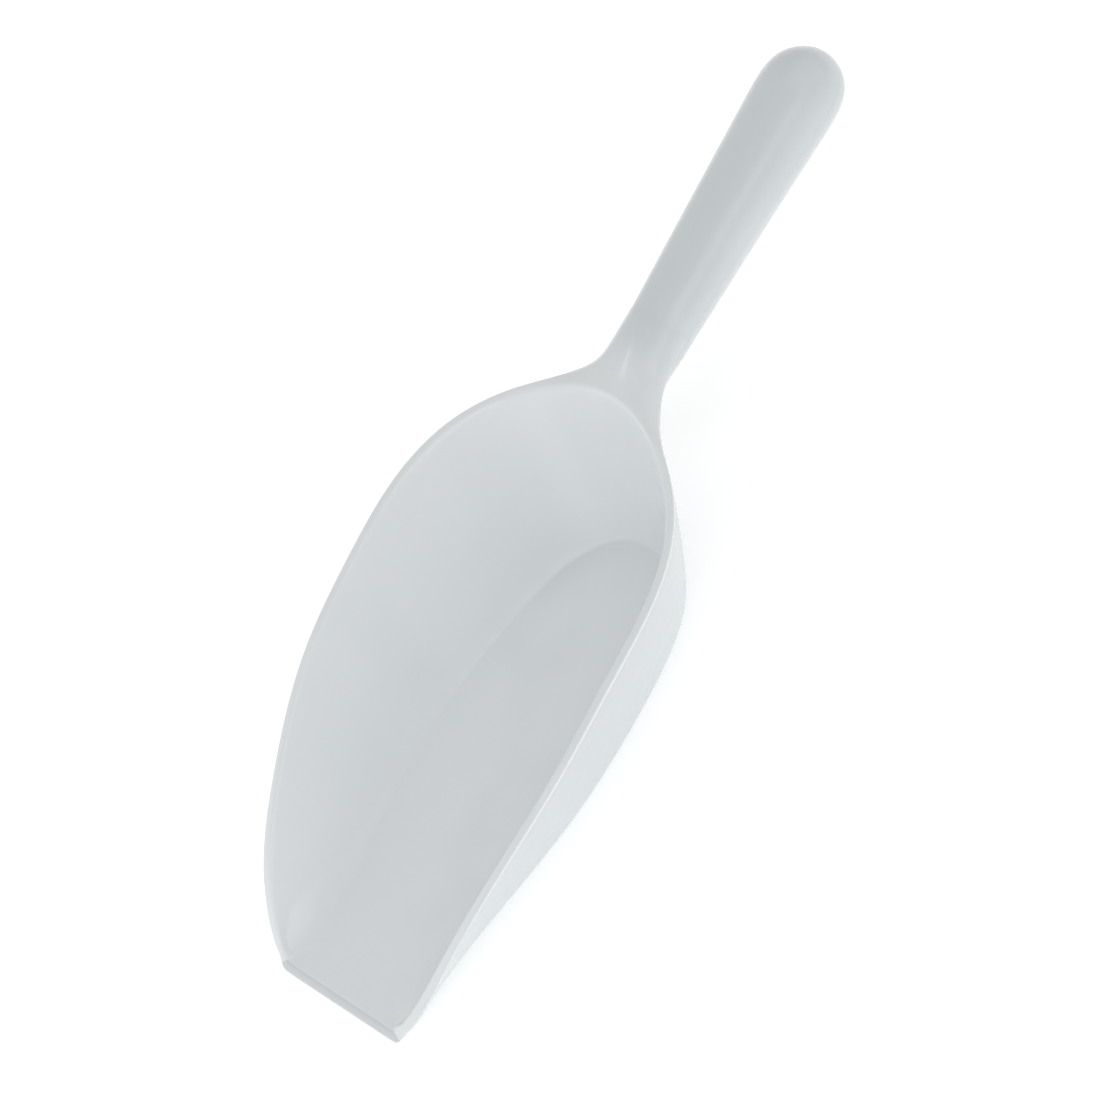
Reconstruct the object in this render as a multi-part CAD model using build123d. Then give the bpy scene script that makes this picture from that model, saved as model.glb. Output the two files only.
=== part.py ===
from build123d import *
import math
import os

# Row frame: +X forward to the lip, +Y to the left side, +Z up, millimetres.
# The origin is the centre of the flat base, on the surface that the scoop stands on.

# Bowl
BASE_LENGTH = 166.0  # lip edge to the rear end of the flat base
LIP_X = BASE_LENGTH / 2
WALL = 3.0
LOFT_TOP = 72.0  # the untrimmed walls end well above the rim
WALL_BULGE = 0.9  # outward crown of the walls at half of their height
BASE_EDGE_RADIUS = 2.0
OVERRUN = 1.0  # how far a cut or a buried root runs past the face it meets
LIP_BEVEL = 2.3
LIP_EDGE = 1.0  # thickness left at the very front of the lip

# Walls: (distance behind the lip, half width) on the base, then how far the
# wall runs (rearward, sideways) for each millimetre of height.
WALL_STATIONS = [
    ((-12.0, 27.2), (0.00, 1.07)),
    ((5.0, 27.7), (0.00, 0.94)),
    ((22.0, 28.1), (0.00, 0.765)),
    ((52.0, 31.3), (0.00, 0.595)),
    ((86.0, 34.5), (0.00, 0.533)),
    ((114.0, 32.9), (0.044, 0.522)),
    ((139.0, 28.7), (0.193, 0.513)),
    ((156.0, 21.0), (0.297, 0.383)),
    ((BASE_LENGTH, 0.0), (0.445, 0.00)),
]

# Mouth: (distance behind the lip, height) of the rim in side view
RIM_LINE = [
    (LIP_BEVEL, WALL),
    (22.0, 17.9),
    (46.0, 29.3),
    (73.0, 38.4),
    (102.0, 44.8),
    (134.0, 49.8),
    (167.0, 52.0),
    (182.0, 53.2),
    (192.0, 56.6),
    (206.0, 62.8),
    (224.0, 67.0),
]
CUT_TOP = 120.0

# Handle: an ellipse that grows along a straight, rising axis to a domed end
JOINT_BEHIND_LIP = 214.5
JOINT_Z = 53.2
HANDLE_RISE = 6.04  # degrees
HANDLE_LENGTH = 91.6
DOME_LENGTH = 13.0
HANDLE_FLATNESS = 0.767  # height over width of its ellipses, outside and inside
HANDLE_HALF_WIDTHS = (11.6, 12.9, 14.6)  # at the joint, halfway and before the dome
HANDLE_WALL = 2.6
SEAM_TURN = 40.0  # keeps the surface's own seam clear of the edges cut into it

# Neck: (distance before the joint, half width, half height, drop of its centre)
NECK_SECTIONS = [
    (0.0, HANDLE_HALF_WIDTHS[0], HANDLE_HALF_WIDTHS[0] * HANDLE_FLATNESS, 0.0),
    (13.5, 12.1, 9.4, 0.4),
    (24.0, 14.2, 9.6, 2.0),
    (30.5, 18.6, 12.0, 3.8),
    (38.0, 23.0, 15.0, 5.0),
]

# Joint of bowl and handle: a hollow spigot inside both handle shells
SPIGOT_LENGTH = 24.0
SPIGOT_WALL = 2.2
SPIGOT_CLEARANCE = 0.15
SPIGOT_HALF_WIDTH = HANDLE_HALF_WIDTHS[0] - HANDLE_WALL - SPIGOT_CLEARANCE
NECK_HOLLOW_DEPTH = 12.0
LOCK_PIN_AT = 12.0

# Seam of the two shells: a lap joint on the handle's widest line
LAP_HEIGHT = 1.5
LAP_CLEARANCE = 0.1

# Pins of the lower shell, bosses and sockets of the upper shell, stiffening ribs
PIN_RADIUS = 2.0
PIN_CLEARANCE = 0.1
PIN_RISE = 4.0
BOSS_RADIUS = 3.8
LOCATING_PINS_AT = (40.0, 72.0)
LOCK_PIN_RISE = 7.6
RIB_THICKNESS = 1.8
SPIGOT_RIB_AT = 20.0
RIB_AT = 56.0
RIB_DEPTH = 2.5
FAR = 60.0  # larger than any section of the handle


def bowl_outline(height):
    """Closed outline of the untrimmed walls at one height."""
    crown = WALL_BULGE * math.sin(math.pi * height / LOFT_TOP)
    side = []
    for (behind, half), (lean_back, lean_side) in WALL_STATIONS:
        lean = math.hypot(lean_back, lean_side)
        back = behind + lean_back * (height + crown / lean)
        out = half + lean_side * (height + crown / lean)
        side.append((LIP_X - back, out))
    other = [(x, -y) for x, y in reversed(side[:-1])]
    wall = Spline(*side, *other)
    front = Line(wall @ 1, wall @ 0)
    return Plane.XY.offset(height) * make_face(wall + front)


def bowl_envelope():
    """The bowl's outside, closed and without its mouth."""
    return loft([bowl_outline(LOFT_TOP * share) for share in (0, 1 / 3, 2 / 3, 1)])


def rounded_base(envelope):
    base_edges = envelope.faces().sort_by(Axis.Z)[0].edges()
    return fillet(base_edges.sort_by(Axis.X)[0], BASE_EDGE_RADIUS)


def above_mouth():
    """Everything over the rim line and in front of the lip, to be cut away."""
    rim = [(LIP_X - behind, height) for behind, height in RIM_LINE]
    start_x = LIP_X - LIP_BEVEL
    edge = Spline(*rim)
    bevel = Line((LIP_X, LIP_EDGE), (start_x, WALL))
    front = Polyline(
        (LIP_X, LIP_EDGE),
        (LIP_X, -OVERRUN),
        (LIP_X + FAR, -OVERRUN),
        (LIP_X + FAR, CUT_TOP),
        (rim[-1][0], CUT_TOP),
        rim[-1],
    )
    profile = Plane.XZ * make_face(edge + bevel + front)
    return extrude(profile, amount=2 * FAR, both=True)


def handle_frame():
    """Origin at the joint of bowl and handle, x along the handle, z up."""
    rise = math.radians(HANDLE_RISE)
    along = (-math.cos(rise), 0, math.sin(rise))
    up = (math.sin(rise), 0, math.cos(rise))
    return Plane(origin=(LIP_X - JOINT_BEHIND_LIP, 0, JOINT_Z), x_dir=along, z_dir=up)


def across(distance, drop=0.0):
    """Plane across the handle, in the handle's frame."""
    return Plane(origin=(distance, 0, -drop), x_dir=(0, 1, 0), z_dir=(1, 0, 0))


def pressed(turned):
    """A form turned about the handle's axis, pressed flatter."""
    return scale(Rot(X=SEAM_TURN) * turned, by=(1, 1, HANDLE_FLATNESS))


def half_width(at):
    """Half of the handle's width at a distance from the joint."""
    at_joint, halfway, widest = HANDLE_HALF_WIDTHS
    middle = (HANDLE_LENGTH - DOME_LENGTH) / 2
    if at < middle:
        return at_joint + (halfway - at_joint) * at / middle
    return halfway + (widest - halfway) * (at - middle) / middle


def side_line(inset):
    """The handle's side in plan, from the joint to the tip of the dome."""
    straight = HANDLE_LENGTH - DOME_LENGTH
    points = [(at, half_width(at) - inset) for at in (0, straight / 2, straight)]
    side = Spline(*points, tangents=[(1, 0.03), (1, 0)])
    dome = EllipticalCenterArc(
        (straight, 0), DOME_LENGTH - inset, half_width(straight) - inset, start_angle=0, arc_size=90
    )
    return side + dome


def handle_form(inset):
    outside = side_line(inset)
    axis = Polyline((HANDLE_LENGTH - inset, 0), (0, 0), (0, half_width(0) - inset))
    return pressed(revolve(make_face(outside + axis), Axis.X))


def handle_skin(inset, inner_inset):
    """The layer of the handle's wall between two insets, open at the joint."""
    tip = Line((HANDLE_LENGTH - inset, 0), (HANDLE_LENGTH - inner_inset, 0))
    end = Line((0, half_width(0) - inset), (0, half_width(0) - inner_inset))
    layer = make_face(side_line(inset) + tip + side_line(inner_inset) + end)
    return pressed(revolve(layer, Axis.X))


def rib(at, opening):
    """A ring across the handle's inside, rooted in its wall."""
    outer = half_width(at) - HANDLE_WALL / 2
    corners = [(at, opening), (at + RIB_THICKNESS, opening), (at + RIB_THICKNESS, outer), (at, outer)]
    return pressed(revolve(make_face(Polyline(*corners, close=True)), Axis.X))


def neck_form():
    sections = [across(-at, drop) * Ellipse(w, h) for at, w, h, drop in reversed(NECK_SECTIONS)]
    return loft(sections)


def spigot_bar(half_width, start, end):
    return pressed(Pos((start + end) / 2, 0, 0) * Rot(Y=90) * Cylinder(half_width, end - start))


def slab(bottom, top):
    """Everything between two heights over the handle's seam."""
    return Pos(HANDLE_LENGTH / 2, 0, (bottom + top) / 2) * Box(3 * FAR, 2 * FAR, top - bottom)


def post(at, radius, bottom, top):
    return Pos(at, 0, (bottom + top) / 2) * Cylinder(radius, top - bottom)


def ribs():
    """Whole rings, which each shell keeps its own half of."""
    bearing = rib(SPIGOT_RIB_AT, SPIGOT_HALF_WIDTH + SPIGOT_CLEARANCE)
    stiffener = rib(RIB_AT, half_width(RIB_AT) - HANDLE_WALL - RIB_DEPTH)
    return bearing + stiffener


def handle_lower_shell():
    inside = handle_form(HANDLE_WALL / 2)
    shell = handle_skin(0, HANDLE_WALL) & slab(-FAR, 0)
    shell += handle_skin(HANDLE_WALL / 2 + LAP_CLEARANCE, HANDLE_WALL) & slab(-HANDLE_WALL, LAP_HEIGHT)
    shell += ribs() & slab(-FAR, 0)
    for at in LOCATING_PINS_AT:
        shell += post(at, BOSS_RADIUS, -FAR, 0) & inside
        shell += post(at, PIN_RADIUS, -OVERRUN, PIN_RISE)
    shell += post(LOCK_PIN_AT, PIN_RADIUS, -FAR, 0) & inside
    shell += post(LOCK_PIN_AT, PIN_RADIUS, -OVERRUN, LOCK_PIN_RISE)
    return handle_frame() * shell


def handle_upper_shell():
    inside = handle_form(HANDLE_WALL / 2)
    lap_top = LAP_HEIGHT + LAP_CLEARANCE
    shell = handle_skin(0, HANDLE_WALL) & slab(0, FAR)
    shell -= handle_skin(HANDLE_WALL / 2, HANDLE_WALL + OVERRUN) & slab(-OVERRUN, lap_top)
    shell += ribs() & slab(lap_top, FAR)
    for at in LOCATING_PINS_AT:
        shell += post(at, BOSS_RADIUS, 0, FAR) & inside
        shell -= post(at, PIN_RADIUS + PIN_CLEARANCE, -OVERRUN, PIN_RISE + PIN_CLEARANCE)
    shell -= post(LOCK_PIN_AT, PIN_RADIUS + PIN_CLEARANCE, -OVERRUN, LOCK_PIN_RISE + PIN_CLEARANCE)
    return handle_frame() * shell


def bowl():
    envelope = bowl_envelope()
    cavity = offset(envelope, amount=-WALL)
    neck = handle_frame() * neck_form()
    spigot = spigot_bar(SPIGOT_HALF_WIDTH, -OVERRUN, SPIGOT_LENGTH)
    bore = spigot_bar(SPIGOT_HALF_WIDTH - SPIGOT_WALL, -NECK_HOLLOW_DEPTH, FAR)
    lock_hole = post(LOCK_PIN_AT, PIN_RADIUS + PIN_CLEARANCE, -FAR, FAR)
    body = rounded_base(envelope) + neck - cavity - above_mouth()
    return body + handle_frame() * spigot - handle_frame() * (bore + lock_hole)


os.makedirs("parts", exist_ok=True)
for make in (bowl, handle_upper_shell, handle_lower_shell):
    export_step(make(), f"parts/{make.__name__}.step")
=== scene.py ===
import math

import bmesh
import bpy
import numpy as np
from mathutils import Matrix, Vector


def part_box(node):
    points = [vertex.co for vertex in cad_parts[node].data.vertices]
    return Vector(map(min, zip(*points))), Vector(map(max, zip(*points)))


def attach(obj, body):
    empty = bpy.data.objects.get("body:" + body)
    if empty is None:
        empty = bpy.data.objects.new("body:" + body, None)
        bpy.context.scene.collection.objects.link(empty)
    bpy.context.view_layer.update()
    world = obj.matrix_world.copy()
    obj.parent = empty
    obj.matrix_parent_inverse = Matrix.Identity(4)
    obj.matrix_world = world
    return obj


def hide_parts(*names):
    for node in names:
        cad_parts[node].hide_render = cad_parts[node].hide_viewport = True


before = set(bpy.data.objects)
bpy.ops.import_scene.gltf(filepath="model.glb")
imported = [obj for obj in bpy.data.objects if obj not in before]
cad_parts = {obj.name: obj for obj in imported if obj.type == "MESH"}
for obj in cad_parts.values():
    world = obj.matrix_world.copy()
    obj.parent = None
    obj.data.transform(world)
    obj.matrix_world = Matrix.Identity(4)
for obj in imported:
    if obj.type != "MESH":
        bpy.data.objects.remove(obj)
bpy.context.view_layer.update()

# Lengths are in millimetres unless a comment says otherwise. Places along the scoop are
# distances behind the lip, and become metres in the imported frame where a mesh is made.
MM = 0.001

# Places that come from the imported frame
LIP_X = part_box("bowl")[1].x / MM
HANDLE_TIP_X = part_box("handle_upper_shell")[0].x / MM  # for reference, nothing is built from it

# Bowl
WALL = 3.0
WALL_CROWN = 0.9
CROWN_HEIGHT = 72.0
LIP_BEVEL = 2.3
LIP_EDGE = 1.0
LIP_CORNER_RADIUS = 2.8
RIM_EDGE_RADIUS = 0.5
RIM_EDGE_REAR = 1.1  # the same at the back, on the inside
BASE_EDGE_RADIUS = 1.8
BASE_LENGTH = 2 * LIP_X  # the base is centred on the frame's origin

# Walls: (distance behind the lip, half width) on the base, and how far the wall
# runs (rearward, sideways) for each millimetre of height.
WALL_STATIONS = [
    ((-12.0, 27.2), (0.00, 1.07)),
    ((5.0, 27.7), (0.00, 0.94)),
    ((22.0, 28.1), (0.00, 0.765)),
    ((52.0, 31.3), (0.00, 0.595)),
    ((86.0, 34.5), (0.00, 0.533)),
    ((114.0, 32.9), (0.044, 0.522)),
    ((139.0, 28.7), (0.193, 0.513)),
    ((156.0, 21.0), (0.297, 0.383)),
    ((BASE_LENGTH, 0.0), (0.445, 0.00)),
]

# Mouth: (distance behind the lip, height) of the rim in side view
RIM_LINE = [
    (LIP_BEVEL, WALL),
    (22.0, 17.9),
    (46.0, 29.3),
    (73.0, 38.4),
    (102.0, 44.8),
    (134.0, 49.8),
    (167.0, 52.1),
    (182.0, 53.8),
    (192.0, 55.6),
]

# Floor of the bowl: the middle line that all sections start from, and how far the
# corner between floor and wall is rounded at the rear and beside the lip
SPINE_FRONT = 30.0
SPINE_REAR = 128.0
FLOOR_BLEND_REAR = 1.3
FLOOR_BLEND_LIP = 9.0

# Handle
JOINT_BEHIND_LIP = 214.5
JOINT_Z = 53.2
HANDLE_RISE = math.radians(6.04)
HANDLE_LENGTH = 91.6
DOME_LENGTH = 13.0
HANDLE_FLATNESS = 0.767
HANDLE_HALF_WIDTHS = (11.6, 12.9, 14.6)  # at the joint, halfway to the dome and at the dome
HANDLE_WALL = 2.3
HANDLE_RINGS = (0.0, 0.02, 0.2, 0.42, 0.64, 0.85, 1.0)  # as shares of the length before the dome
DOME_STEPS = (0.34, 0.62, 0.83)  # angles of the dome's rings, as shares of a quarter turn
TIP_STEP = 0.541  # the root of two times the sine of 22.5 degrees, rounded

# Neck rings: (distance before the joint, half width, half width of the round part
# under the widest line, height over and under the axis)
NECK_RINGS = [
    (21.0, 15.2, 10.2, 4.7, 8.6),
    (15.0, 12.8, 10.9, 6.2, 8.6),
    (8.0, 12.0, 11.4, 7.7, 8.8),
]
NECK_CREASE = 0.75  # sharpness of the widest line where the neck leaves the rim
NECK_CREASE_FADE = 0.6  # what each next ring keeps of it
CROWN_AT_JOINT = 0.9  # upper half height at the joint as a share of the full one
FULL_CROWN_AT = 0.42  # share of the length before the dome where it is full

# Camera
VIEW_AZIMUTH = math.radians(81.5)
VIEW_ELEVATION = math.radians(46.3)
VIEW_ROLL = math.radians(-49.1)
VIEW_WIDTH = 321.7
VIEW_DISTANCE = 1800.0
VIEW_AIM = (-61.2, -10.7, 26.4)
SENSOR = 36.0

# Plastic: its white in the handle, inside the bowl and outside the bowl, how cloudy it is,
# how much light passes into it, its gloss and its surface. The three whites are not three
# plastics: the real scoop looks like one. The darker whites of the handle and of the outer
# wall, lip bevel and neck underside are painted shade. They were chosen by trial so that the
# brightness comes out right under these lights and over this glowing floor.
# Painted shade: the handle's white is darker than the bowl's.
HANDLE_SHADED_WHITE = (0.695, 0.735, 0.75)
BOWL_WHITE = (0.825, 0.855, 0.868)
# Painted shade: the outer wall, the underside, the lip's bevel and the neck's lower half are darkened.
OUTSIDE_SHADED_WHITE = (0.63, 0.665, 0.68)
CLOUD_SHARE = 0.25
HANDLE_DEPTH = 0.1
BOWL_DEPTH = 0.12
SCATTER_LENGTH = 2.0
# Between these distances the handle's darker white, painted shade, turns into the bowl's.
THICK_NECK = (6.0, 26.0)  # distances before the joint where the handle's look turns into the bowl's
PLASTIC_ROUGHNESS = (0.16, 0.22)
PLASTIC_IOR = 1.49
WAVE_HEIGHT = 0.06
GRAIN_HEIGHT = 0.006
CLOUD_NOISE = (22.0, 2.0)  # scale and detail
GRAIN_NOISE = (260.0, 3.0)
WAVE_NOISE = (45.0, 1.0)
NOISE_RANGE = (0.3, 0.7)  # the part of the noise that is stretched over a whole range

# Studio: lights aimed at the object from a distance in metres, their angles in degrees,
# their size in metres and their radiance
LIGHT_DISTANCE = 2.0
ROOM_LIGHT_LOW = 0.75  # at the horizon
ROOM_LIGHT_HIGH = 0.2  # overhead
SOFTBOXES = [
    # name, azimuth, elevation, size, radiance
    ("key", 38.0, 52.0, 2.2, 0.94),
    ("near_low", 83.0, 20.0, 1.2, 0.2),
    ("lip_low", 0.0, 20.0, 1.2, 0.25),
    ("far_low", -52.0, 20.0, 1.2, 0.8),
    ("handle_end", 180.0, 52.0, 2.0, 0.62),
    ("back_lamp", -67.0, 46.0, 0.1, 9.0),
]
FLOOR_GLOW = 0.41
FLOOR_REACH = 4.0  # metres from its middle to each side
FLOOR_PAINT = (0.9, 0.9, 0.9, 1)
FLOOR_ROUGHNESS = 0.9

SHARP_ANGLE = math.radians(50)  # edges bent more than this are drawn sharp

SUBDIVISIONS = 3


# ---------------------------------------------------------------- curves


class Spline:
    """Natural cubic through points, measured along the chords between them."""

    def __init__(self, points):
        self.p = np.array(points, float)
        steps = np.linalg.norm(np.diff(self.p[:, :2], axis=0), axis=1)
        self.t = np.concatenate([[0.0], np.cumsum(steps)])
        n, h = len(self.p), steps
        a = np.eye(n)
        b = np.zeros_like(self.p)
        for i in range(1, n - 1):
            a[i, i - 1 : i + 2] = h[i - 1], 2 * (h[i - 1] + h[i]), h[i]
            slopes = np.diff(self.p[i - 1 : i + 2], axis=0) / h[i - 1 : i + 1, None]
            b[i] = 6 * (slopes[1] - slopes[0])
        self.m = np.linalg.solve(a, b)

    def __call__(self, t):
        i = int(np.clip(np.searchsorted(self.t, t) - 1, 0, len(self.t) - 2))
        h = self.t[i + 1] - self.t[i]
        u, v = (self.t[i + 1] - t) / h, (t - self.t[i]) / h
        curve = ((u**3 - u) * self.m[i] + (v**3 - v) * self.m[i + 1]) * h * h / 6
        return u * self.p[i] + v * self.p[i + 1] + curve


def mirrored(rows):
    """The half outline's rows, then the same rows on the other side."""
    side = [(*base, *lean) for base, lean in rows]
    other = [(u, -y, lean_u, -lean_y) for u, y, lean_u, lean_y in reversed(side[:-1])]
    return side + other


OUTLINE = Spline(mirrored(WALL_STATIONS))
HALF_OUTLINE = OUTLINE.t[len(WALL_STATIONS) - 1]
RIM = Spline(RIM_LINE)


def rim_height(behind_lip):
    """Height of the mouth at a distance behind the lip."""
    if behind_lip <= LIP_BEVEL:
        return LIP_EDGE + (WALL - LIP_EDGE) * max(behind_lip, 0.0) / LIP_BEVEL
    low, high = 0.0, RIM.t[-1]
    for _ in range(40):
        middle = (low + high) / 2
        low, high = (middle, high) if RIM(middle)[0] < behind_lip else (low, middle)
    return RIM(low)[1]


def wall_outside(t, height):
    u, y, lean_u, lean_y = OUTLINE(t)
    crown = WALL_CROWN * math.sin(math.pi * height / CROWN_HEIGHT) / math.hypot(lean_u, lean_y)
    return np.array([u + lean_u * (height + crown), y + lean_y * (height + crown), height])


def wall_inside(t, height):
    """Point of the inner wall at a height, one wall thickness inside the outer wall."""
    step = 0.5
    h = height
    for _ in range(6):
        along = wall_outside(t + step, h) - wall_outside(t - step, h)
        up = wall_outside(t, h + step) - wall_outside(t, h - step)
        inward = np.cross(up, along)
        inward /= np.linalg.norm(inward)
        if inward[2] < 0:
            inward = -inward
        point = wall_outside(t, h) + WALL * inward
        h += height - point[2]
    return point


def meet_mouth(wall, t):
    """Where a wall reaches the mouth."""
    height = WALL + 1.0
    for _ in range(60):
        height += 0.6 * (rim_height(wall(t, height)[0]) - height)
    return wall(t, height)


# ---------------------------------------------------------------- sections of the bowl

SIDE_SECTIONS = 24
FRONT_SHARES = (0.0, 0.3, 0.56, 0.78)  # sections across the lip, as shares of its half width
CORNER_ANGLES = (10.0, 35.0, 60.0, 82.0)
CORNER_BAND = 3.3  # width of the rim beside the lip
CORNER_INSIDE = 1.0  # radius of the corner between the rim and the lip's bevel
CORNER_FLOOR = 4.0  # from the bevel to the row on the floor behind it
CORNER_FLOOR_RADIUS = 1.6  # radius of that row's corner
FLOOR_NARROWING = 0.86  # that row's distance from the middle as a share of the lip's
LIP_UNDERCUT = (0.2, 0.8)  # foot of the lip: behind its edge, and in at its side end in LIP_EDGE
SIDE_START = 3.0  # from the end of the lip's corner to the first side section
SIDE_SAMPLES = 400
SPACING_HEIGHT = 40.0  # height at which the side sections are spaced
SPACING_WARP = 0.09  # moves them towards the lip, so that they are closer together there
LONGEST_ROUNDING = 0.42  # of the wall from foot to rim, for its rounding at the floor
FLOOR_ROW = 0.55  # place of the row on the floor, from its middle line to the rounding
BESIDE_ROUNDING = 1.5  # from the rounding to the row beside it
INSIDE_SHARES = (0.25, 0.6, 0.9)  # rows on the inner wall, from the rounding up to the rim
OUTSIDE_SHARES = (0.12, 0.27, 0.6)  # rows on the outer wall, from the rim down to the base


def stretch(start, end, distance):
    """Point at a distance from start towards end, at most halfway."""
    d = end - start
    length = max(np.linalg.norm(d), 1e-9)
    return start + d * min(distance / length, 0.5)


def mix(a, b, share):
    return a + (b - a) * share


def side_section(t, share):
    """Key points of a section through a side or back wall; share runs from lip to rear."""
    spine = mix(SPINE_FRONT + 4, SPINE_REAR, share)
    return {
        "floor": np.array([spine, 0.0, WALL]),
        "foot_in": wall_inside(t, WALL),
        "rim_in": meet_mouth(wall_inside, t),
        "rim_out": meet_mouth(wall_outside, t),
        "foot_out": wall_outside(t, 0.0),
        "under": np.array([spine, 0.0, 0.0]),
        "blend": mix(FLOOR_BLEND_REAR, FLOOR_BLEND_LIP, (1 - share) ** 4),
        "rim_edge": mix(RIM_EDGE_RADIUS, RIM_EDGE_REAR, share**5),
        "t": t,
    }


def lip_section(outer, inner, floor, share):
    """Key points of a section across the lip or its corner, given in plan."""
    behind, narrower = LIP_UNDERCUT
    low = outer * (1, 1 - narrower * LIP_EDGE / max(LIP_HALF, 1)) + (behind, 0)
    spine = SPINE_FRONT + 4 * share
    return {
        "floor": np.array([spine, 0.0, WALL]),
        "foot_in": np.array([*floor, WALL]),
        "rim_in": np.array([*inner, rim_height(inner[0])]),
        "rim_out": np.array([*outer, rim_height(outer[0])]),
        "foot_out": np.array([*low, 0.0]),
        "under": np.array([spine, 0.0, 0.0]),
        "blend": FLOOR_BLEND_LIP,
        "rim_edge": RIM_EDGE_RADIUS,
        "t": None,
    }


def at_distance(distance_behind_lip):
    """Place on the outline at a distance behind the lip."""
    low, high = 0.0, HALF_OUTLINE
    for _ in range(40):
        middle = (low + high) / 2
        low, high = (middle, high) if OUTLINE(middle)[0] < distance_behind_lip else (low, middle)
    return low


LIP_HALF = wall_outside(at_distance(0.0), LIP_EDGE)[1]


def half_sections():
    """Sections from the middle of the lip round the left side to the middle of the back."""
    sections = []
    corner = LIP_HALF - LIP_CORNER_RADIUS
    inner_corner = LIP_HALF - CORNER_BAND - CORNER_INSIDE
    for share in FRONT_SHARES:
        sections.append(
            lip_section(
                np.array([0.0, share * corner]),
                np.array([LIP_BEVEL, share * inner_corner]),
                np.array([LIP_BEVEL + CORNER_FLOOR, share * corner * FLOOR_NARROWING]),
                share * 0.5,
            )
        )
    for k, degrees in enumerate(CORNER_ANGLES):
        turn = np.array([1 - math.cos(math.radians(degrees)), math.sin(math.radians(degrees)) - 1])
        outer = np.array([0.0, LIP_HALF]) + LIP_CORNER_RADIUS * turn
        inner = np.array([LIP_BEVEL, LIP_HALF - CORNER_BAND]) + CORNER_INSIDE * turn
        floor = np.array([LIP_BEVEL + CORNER_FLOOR, LIP_HALF - CORNER_BAND - CORNER_FLOOR_RADIUS])
        floor = floor + CORNER_FLOOR_RADIUS * turn
        sections.append(lip_section(outer, inner, floor, 0.5 + 0.12 * k))
    dense = np.linspace(at_distance(LIP_CORNER_RADIUS + SIDE_START), HALF_OUTLINE, SIDE_SAMPLES)
    path = np.array([wall_outside(t, SPACING_HEIGHT) for t in dense])
    run = np.concatenate([[0.0], np.cumsum(np.linalg.norm(np.diff(path, axis=0), axis=1))])
    for k in range(SIDE_SECTIONS):
        share = k / (SIDE_SECTIONS - 1)
        warped = share - SPACING_WARP * math.sin(math.pi * share)
        sections.append(side_section(np.interp(warped * run[-1], run, dense), share))
    return sections


def section_rows(s):
    """Points of one section in order, from the floor over the rim to the underside."""
    foot_in, rim_in, rim_out, foot_out = (s[k] for k in ("foot_in", "rim_in", "rim_out", "foot_out"))
    rounding = min(s["blend"], LONGEST_ROUNDING * np.linalg.norm(rim_in - foot_in))
    on_floor = stretch(foot_in, s["floor"], s["blend"])
    on_wall = stretch(foot_in, rim_in, rounding)
    below_in = stretch(rim_in, foot_in, s["rim_edge"])
    below_out = stretch(rim_out, foot_out, RIM_EDGE_RADIUS)
    over_base = stretch(foot_out, rim_out, BASE_EDGE_RADIUS)
    return [
        s["floor"],
        mix(s["floor"], on_floor, FLOOR_ROW),
        stretch(on_floor, s["floor"], BESIDE_ROUNDING),
        on_floor,
        on_wall,
        *(crowned(wall_inside, s, mix(on_wall, below_in, share)) for share in INSIDE_SHARES),
        below_in,
        stretch(rim_in, rim_out, s["rim_edge"]),
        mix(rim_in, rim_out, 0.5),
        stretch(rim_out, rim_in, RIM_EDGE_RADIUS),
        below_out,
        *(crowned(wall_outside, s, mix(below_out, over_base, share)) for share in OUTSIDE_SHARES),
        over_base,
        stretch(foot_out, s["under"], BASE_EDGE_RADIUS),
        stretch(foot_out, s["under"], 2.5 * BASE_EDGE_RADIUS),
        mix(s["under"], foot_out, 0.5),
        s["under"],
    ]


def crowned(wall, s, point):
    """The point moved onto the crowned wall at its height; lip sections have no wall."""
    return point if s["t"] is None else wall(s["t"], point[2])


# Rows of section_rows
INNER_EDGE = 8  # where the rim or the lip's bevel begins
MIDDLE_OF_RIM = 10  # the neck grows from here
UNDER_RIM = 12  # where the outside of the wall begins
UNDER_NECK = 14  # down to here

# Faces to each side of the lip's middle whose bevel has the outside's darker white, painted shade
LIP_SECTIONS = len(FRONT_SHARES) + 2
NECK_SIDE = 2  # the neck's sections to each side of the middle of the back


# ---------------------------------------------------------------- control cage of the whole skin

# The fourth part holds the faces with the outside's darker white, painted shade: outer wall, underside,
# lip bevel and the neck's lower half.
PARTS = range(4)
BOWL, UPPER, LOWER, BOWL_SHADED_OUTSIDE = PARTS
RING = 16
RING_SHRINK = (2 + math.cos(2 * math.pi / RING)) / 3  # what subdivision leaves of a ring's radius


class Cage:
    def __init__(self):
        self.points, self.faces, self.parts = [], [], []
        self.creases = {}

    def point(self, behind_lip, y, z):
        self.points.append(((LIP_X - behind_lip) * MM, y * MM, z * MM))
        return len(self.points) - 1

    def face(self, corners, part):
        self.faces.append(corners)
        self.parts.append(part)

    def bridge(self, ring, next_ring, part_of):
        for k in range(len(ring)):
            n = (k + 1) % len(ring)
            self.face((ring[k], ring[n], next_ring[n], next_ring[k]), part_of(k))


def along_handle(distance, y, up):
    """Point in the handle's frame, given behind the lip."""
    c, s = math.cos(HANDLE_RISE), math.sin(HANDLE_RISE)
    return JOINT_BEHIND_LIP + c * distance - s * up, y, JOINT_Z + s * distance + c * up


def ring_angle(k):
    return 2 * math.pi * k / RING


def add_ring(cage, distance, half_width, half_width_under, over, under):
    """Ring of points that starts on the widest line; its lower half may be narrower."""
    ring = []
    for k in range(RING):
        c, s = math.cos(ring_angle(k)), math.sin(ring_angle(k))
        width = half_width if s > -0.01 else half_width_under
        up = s * (over if s > 0 else under)
        ring.append(cage.point(*along_handle(distance, width * c / RING_SHRINK, up / RING_SHRINK)))
    return ring


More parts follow.
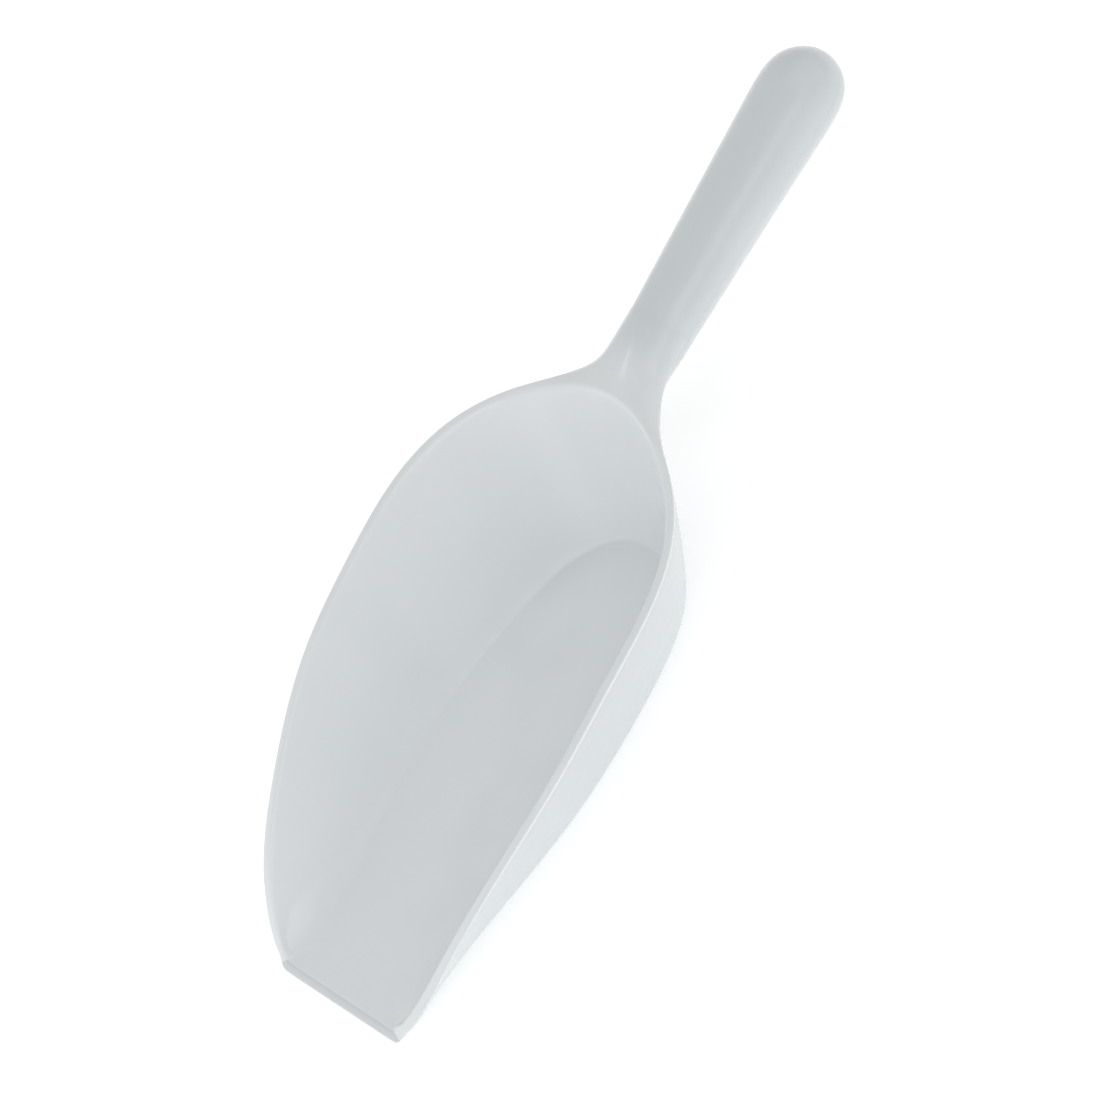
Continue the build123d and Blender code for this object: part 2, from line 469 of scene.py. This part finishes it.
def add_bowl(cage):
    """Adds the bowl and returns the ring of points round the opening that the neck grows from."""
    half = half_sections()
    last = len(half) - 1
    count = 2 * last
    columns = []
    for j in range(count):
        side = 1 if j <= last else -1
        rows = section_rows(half[j if j <= last else count - j])
        first_and_last = (0, len(rows) - 1)
        column = []
        for r, (u, y, z) in enumerate(rows):
            if side < 0 and r in first_and_last:
                column.append(columns[count - j][r])
            else:
                column.append(cage.point(u, side * y, z))
        columns.append(column)
    for j in range(count):
        for r in range(len(columns[0]) - 1):
            in_neck = MIDDLE_OF_RIM <= r < UNDER_NECK and last - NECK_SIDE <= j < last + NECK_SIDE
            if not in_neck:
                a, b = columns[j], columns[(j + 1) % count]
                bevel = r >= INNER_EDGE and min(j, count - 1 - j) < LIP_SECTIONS
                # The lip's bevel and everything from under the rim down get the darker white, painted
                # shade.
                part = BOWL_SHADED_OUTSIDE if bevel or r >= UNDER_RIM else BOWL
                cage.face((a[r], b[r], b[r + 1], a[r + 1]), part)
    left, right = columns[last - NECK_SIDE], columns[last + NECK_SIDE]
    span = columns[last - NECK_SIDE : last + NECK_SIDE + 1]
    top = [c[MIDDLE_OF_RIM] for c in span]
    bottom = [c[UNDER_NECK] for c in reversed(span)]
    down = list(range(MIDDLE_OF_RIM + 1, UNDER_NECK))
    ring = top + [right[r] for r in down] + bottom + [left[r] for r in reversed(down)]
    turn = down.index(MIDDLE_OF_RIM + 2) + 1  # the row under the rim's outer edge is the widest line
    return ring[-turn:] + ring[:-turn]


def add_handle(cage, root):
    ring = root
    sharpness = NECK_CREASE
    for before, half_width, half_width_under, over, under in NECK_RINGS:
        next_ring = add_ring(cage, -before, half_width, half_width_under, over, under)
        cage.bridge(ring, next_ring, neck_part)
        for side in (0, RING // 2):
            cage.creases[frozenset((ring[side], next_ring[side]))] = sharpness
        sharpness *= NECK_CREASE_FADE
        ring = next_ring
    straight = HANDLE_LENGTH - DOME_LENGTH
    for share in HANDLE_RINGS:
        half_width = np.interp(share, (0, 0.5, 1), HANDLE_HALF_WIDTHS)
        half_height = half_width * HANDLE_FLATNESS
        over = half_height * np.interp(share, (0, FULL_CROWN_AT), (CROWN_AT_JOINT, 1))
        next_ring = add_ring(cage, share * straight, half_width, half_width, over, half_height)
        cage.bridge(ring, next_ring, neck_part if share == 0 else shell_of)
        ring = next_ring
    half_width = HANDLE_HALF_WIDTHS[-1]
    for share in DOME_STEPS:
        angle = share * math.pi / 2
        width = half_width * math.cos(angle)
        reach = straight + DOME_LENGTH * math.sin(angle)
        height = width * HANDLE_FLATNESS
        next_ring = add_ring(cage, reach, width, width, height, height)
        cage.bridge(ring, next_ring, shell_of)
        ring = next_ring
    add_tip(cage, ring, width)


def neck_part(k):
    """The neck belongs to the bowl, and its lower half has the outside's darker white, painted shade."""
    return BOWL if k < RING // 2 else BOWL_SHADED_OUTSIDE


def shell_of(k):
    return UPPER if k < RING // 2 else LOWER


def add_tip(cage, ring, ring_width):
    """Closes the dome with a four by four patch of quads."""
    steps = (-1.0, -TIP_STEP, 0.0, TIP_STEP, 1.0)
    grid = {}
    for k in range(RING):
        angle = ring_angle(k)
        x, y = math.cos(angle), math.sin(angle)
        scale = 1 / max(abs(x), abs(y))
        i = min(range(5), key=lambda n: abs(steps[n] - x * scale))
        j = min(range(5), key=lambda n: abs(steps[n] - y * scale))
        grid[i, j] = ring[k]
    for i in range(1, 4):
        for j in range(1, 4):
            a, b = steps[i], steps[j]
            y = ring_width * a * math.sqrt(1 - b * b / 2)
            up = ring_width * b * math.sqrt(1 - a * a / 2)
            flat = min(math.hypot(y, up) / HANDLE_HALF_WIDTHS[-1], 1.0)
            reach = HANDLE_LENGTH - DOME_LENGTH + DOME_LENGTH * math.sqrt(1 - flat * flat)
            grid[i, j] = cage.point(*along_handle(reach, y, up * HANDLE_FLATNESS))
    for i in range(4):
        for j in range(4):
            corners = (grid[i, j], grid[i + 1, j], grid[i + 1, j + 1], grid[i, j + 1])
            cage.face(corners, UPPER if j >= 2 else LOWER)


# ---------------------------------------------------------------- pieces cut from the skin


def subdivided(cage):
    """The smooth skin as a mesh whose material index tells the parts apart."""
    mesh = bpy.data.meshes.new("skin_cage")
    mesh.from_pydata(cage.points, [], cage.faces)
    for _ in PARTS:
        mesh.materials.append(None)
    mesh.polygons.foreach_set("material_index", cage.parts)
    bm = bmesh.new()
    bm.from_mesh(mesh)
    bmesh.ops.recalc_face_normals(bm, faces=bm.faces)
    crease = bm.edges.layers.float.new("crease_edge")
    for edge in bm.edges:
        edge[crease] = cage.creases.get(frozenset(v.index for v in edge.verts), 0.0)
    bm.to_mesh(mesh)
    bm.free()
    holder = bpy.data.objects.new("skin_cage", mesh)
    bpy.context.scene.collection.objects.link(holder)
    smooth = holder.modifiers.new("smooth", "SUBSURF")
    smooth.levels = smooth.render_levels = SUBDIVISIONS
    bpy.context.view_layer.update()
    result = bpy.data.meshes.new_from_object(holder.evaluated_get(bpy.context.evaluated_depsgraph_get()))
    bpy.data.objects.remove(holder)
    return result


def keep_parts(skin, *parts):
    """A bmesh with only these parts' faces, each part with its own material index."""
    bm = bmesh.new()
    bm.from_mesh(skin)
    others = [f for f in bm.faces if f.material_index not in parts]
    bmesh.ops.delete(bm, geom=others, context="FACES")
    for face in bm.faces:
        face.material_index = parts.index(face.material_index)
        face.smooth = True
    return bm


def finish_piece(bm, name, materials, node):
    mesh = bpy.data.meshes.new(name)
    for material in materials:
        mesh.materials.append(material)
    bm.to_mesh(mesh)
    bm.free()
    mesh.set_sharp_from_angle(angle=SHARP_ANGLE)
    piece = bpy.data.objects.new(name, mesh)
    bpy.context.scene.collection.objects.link(piece)
    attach(piece, "root")
    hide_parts(node)
    return piece


def close_end(bm):
    """Fills the bowl's open neck, where the handle shells butt against it."""
    edges = [e for e in bm.edges if e.is_boundary]
    bmesh.ops.holes_fill(bm, edges=edges, sides=0)
    bmesh.ops.recalc_face_normals(bm, faces=bm.faces)


def thicken(bm, thickness):
    """Gives a shell its wall, inwards."""
    bmesh.ops.solidify(bm, geom=bm.faces[:], thickness=thickness)
    bmesh.ops.recalc_face_normals(bm, faces=bm.faces)


# ---------------------------------------------------------------- materials


def noise(tree, coordinates, scale, detail):
    node = tree.nodes.new("ShaderNodeTexNoise")
    node.inputs["Scale"].default_value = scale
    node.inputs["Detail"].default_value = detail
    tree.links.new(coordinates, node.inputs["Vector"])
    return node.outputs["Fac"]


def mapped(tree, value, low, high):
    node = tree.nodes.new("ShaderNodeMapRange")
    node.inputs["From Min"].default_value = NOISE_RANGE[0]
    node.inputs["From Max"].default_value = NOISE_RANGE[1]
    node.inputs["To Min"].default_value = low
    node.inputs["To Max"].default_value = high
    tree.links.new(value, node.inputs["Value"])
    return node.outputs["Result"]


def blended(tree, value, first, second):
    node = tree.nodes.new("ShaderNodeValToRGB")
    node.color_ramp.elements[0].color = (*first, 1)
    node.color_ramp.elements[1].color = (*second, 1)
    tree.links.new(value, node.inputs["Fac"])
    return node.outputs["Color"]


def bumped(tree, height, distance, normal=None):
    node = tree.nodes.new("ShaderNodeBump")
    node.inputs["Strength"].default_value = 1.0
    node.inputs["Distance"].default_value = distance
    tree.links.new(height, node.inputs["Height"])
    if normal is not None:
        tree.links.new(normal, node.inputs["Normal"])
    return node.outputs["Normal"]


def bowl_share(tree, coordinates):
    """From 0 in the handle to 1 in the bowl; it carries the colour from the handle's darker white,
    painted shade, to the bowl's.
    """
    split = tree.nodes.new("ShaderNodeSeparateXYZ")
    tree.links.new(coordinates, split.inputs["Vector"])
    node = tree.nodes.new("ShaderNodeMapRange")
    node.interpolation_type = "SMOOTHSTEP"
    joint = LIP_X - JOINT_BEHIND_LIP
    node.inputs["From Min"].default_value = (joint + THICK_NECK[0]) * MM
    node.inputs["From Max"].default_value = (joint + THICK_NECK[1]) * MM
    tree.links.new(split.outputs["X"], node.inputs["Value"])
    return node.outputs["Result"]


def plastic(name, bowl_white):
    """Milky, slightly translucent white plastic with a moulded gloss."""
    material = bpy.data.materials.new(name)
    material.use_nodes = True
    tree = material.node_tree
    shader = tree.nodes["Principled BSDF"]
    coordinates = tree.nodes.new("ShaderNodeTexCoord").outputs["Object"]
    in_bowl = bowl_share(tree, coordinates)
    clouds = mapped(tree, noise(tree, coordinates, *CLOUD_NOISE), -CLOUD_SHARE, CLOUD_SHARE)
    # The handle's darker white is painted shade; the clouds are random tone in the plastic.
    shade_and_clouds = tree.nodes.new("ShaderNodeMath")
    shade_and_clouds.operation = "ADD"
    shade_and_clouds.use_clamp = True
    tree.links.new(in_bowl, shade_and_clouds.inputs[0])
    tree.links.new(clouds, shade_and_clouds.inputs[1])
    colour = blended(tree, shade_and_clouds.outputs["Value"], HANDLE_SHADED_WHITE, bowl_white)
    tree.links.new(colour, shader.inputs["Base Color"])
    grain = noise(tree, coordinates, *GRAIN_NOISE)
    tree.links.new(mapped(tree, grain, *PLASTIC_ROUGHNESS), shader.inputs["Roughness"])
    waves = bumped(tree, noise(tree, coordinates, *WAVE_NOISE), WAVE_HEIGHT * MM)
    tree.links.new(bumped(tree, grain, GRAIN_HEIGHT * MM, waves), shader.inputs["Normal"])
    depth = tree.nodes.new("ShaderNodeMapRange")
    depth.inputs["To Min"].default_value = HANDLE_DEPTH
    depth.inputs["To Max"].default_value = BOWL_DEPTH
    tree.links.new(in_bowl, depth.inputs["Value"])
    tree.links.new(depth.outputs["Result"], shader.inputs["Subsurface Weight"])
    shader.inputs["IOR"].default_value = PLASTIC_IOR
    shader.inputs["Subsurface Radius"].default_value = (1.0, 1.0, 1.0)
    shader.inputs["Subsurface Scale"].default_value = SCATTER_LENGTH * MM
    return material


# ---------------------------------------------------------------- stage and camera


def make_floor():
    bm = bmesh.new()
    bmesh.ops.create_grid(bm, x_segments=8, y_segments=8, size=FLOOR_REACH)
    mesh = bpy.data.meshes.new("floor")
    bm.to_mesh(mesh)
    bm.free()
    floor = bpy.data.objects.new("floor", mesh)
    bpy.context.scene.collection.objects.link(floor)
    material = bpy.data.materials.new("floor_paint")
    material.use_nodes = True
    shader = material.node_tree.nodes["Principled BSDF"]
    shader.inputs["Base Color"].default_value = FLOOR_PAINT
    shader.inputs["Roughness"].default_value = FLOOR_ROUGHNESS
    shader.inputs["Emission Color"].default_value = (1, 1, 1, 1)
    shader.inputs["Emission Strength"].default_value = FLOOR_GLOW
    mesh.materials.append(material)


def make_camera():
    ce, se = math.cos(VIEW_ELEVATION), math.sin(VIEW_ELEVATION)
    back = Vector((math.cos(VIEW_AZIMUTH) * ce, math.sin(VIEW_AZIMUTH) * ce, se))
    data = bpy.data.cameras.new("camera")
    data.sensor_width = SENSOR
    data.lens = SENSOR * VIEW_DISTANCE / VIEW_WIDTH
    camera = bpy.data.objects.new("camera", data)
    bpy.context.scene.collection.objects.link(camera)
    upright = back.to_track_quat("Z", "Y").to_matrix().to_4x4()
    aim = Vector(VIEW_AIM) * MM
    turn = upright @ Matrix.Rotation(VIEW_ROLL, 4, "Z")
    camera.matrix_world = Matrix.Translation(aim + back * VIEW_DISTANCE * MM) @ turn
    bpy.context.scene.camera = camera


def make_lights():
    world = bpy.data.worlds.new("studio")
    bpy.context.scene.world = world
    world.use_nodes = True
    background = world.node_tree.nodes["Background"]
    background.inputs["Color"].default_value = (1, 1, 1, 1)
    tree = world.node_tree
    split = tree.nodes.new("ShaderNodeSeparateXYZ")
    tree.links.new(tree.nodes.new("ShaderNodeTexCoord").outputs["Generated"], split.inputs["Vector"])
    height = tree.nodes.new("ShaderNodeMapRange")
    height.inputs["To Min"].default_value = ROOM_LIGHT_LOW
    height.inputs["To Max"].default_value = ROOM_LIGHT_HIGH
    tree.links.new(split.outputs["Z"], height.inputs["Value"])
    tree.links.new(height.outputs["Result"], background.inputs["Strength"])
    for name, azimuth, elevation, size, radiance in SOFTBOXES:
        azimuth, elevation = math.radians(azimuth), math.radians(elevation)
        flat = math.cos(elevation)
        toward = Vector((math.cos(azimuth) * flat, math.sin(azimuth) * flat, math.sin(elevation)))
        data = bpy.data.lights.new(name, "AREA")
        data.size = size
        data.energy = math.pi * radiance * size * size
        light = bpy.data.objects.new(name, data)
        bpy.context.scene.collection.objects.link(light)
        turn = toward.to_track_quat("Z", "Y").to_matrix().to_4x4()
        light.matrix_world = Matrix.Translation(toward * LIGHT_DISTANCE) @ turn


cage = Cage()
add_handle(cage, add_bowl(cage))
skin = subdivided(cage)
white = plastic("milky_plastic", BOWL_WHITE)
# The same plastic with the darker outside white, which is painted shade.
painted_shade_plastic = plastic("milky_plastic_painted_shade", OUTSIDE_SHADED_WHITE)

bowl_mesh = keep_parts(skin, BOWL, BOWL_SHADED_OUTSIDE)
close_end(bowl_mesh)
finish_piece(bowl_mesh, "bowl_skin", (white, painted_shade_plastic), "bowl")

for part, node in ((UPPER, "handle_upper_shell"), (LOWER, "handle_lower_shell")):
    shell_mesh = keep_parts(skin, part)
    thicken(shell_mesh, HANDLE_WALL * MM)
    finish_piece(shell_mesh, node + "_skin", (white,), node)

make_floor()
make_lights()
make_camera()
bpy.context.scene.view_settings.view_transform = "Standard"
